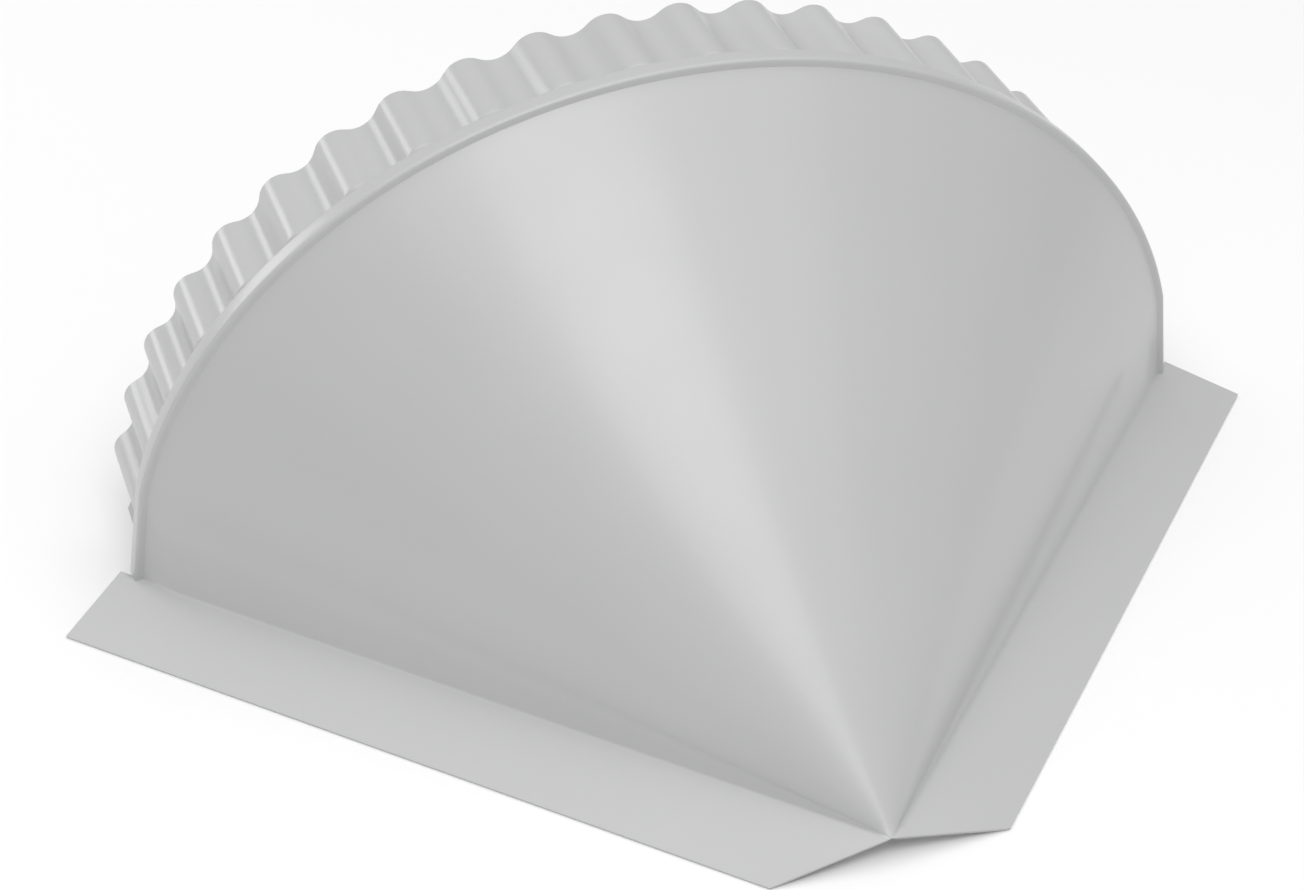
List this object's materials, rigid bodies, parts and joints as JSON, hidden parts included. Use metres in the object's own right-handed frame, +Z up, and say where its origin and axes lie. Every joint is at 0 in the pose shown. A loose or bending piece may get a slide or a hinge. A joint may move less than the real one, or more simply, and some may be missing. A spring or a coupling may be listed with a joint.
{
  "type": "ridge end cap",
  "caption": "Half-cone end cap of painted sheet steel for a half-round ridge, with folded side flanges, a rim bead and a crimped collar that slips under the capping.",
  "frame": {"origin": "below the middle of the cap's box, on the surface that the flange edges rest on", "axes": "+Z up, the cone's tip points to -Y and the crimped collar to +Y, +X across the ridge"},
  "size_m": [0.2874, 0.156, 0.112],
  "materials": {
    "painted_sheet": "semi-gloss light grey coil coating"
  },
  "bodies": {
    "root": {"end_cap": "painted_sheet"}
  },
  "joints": []
}
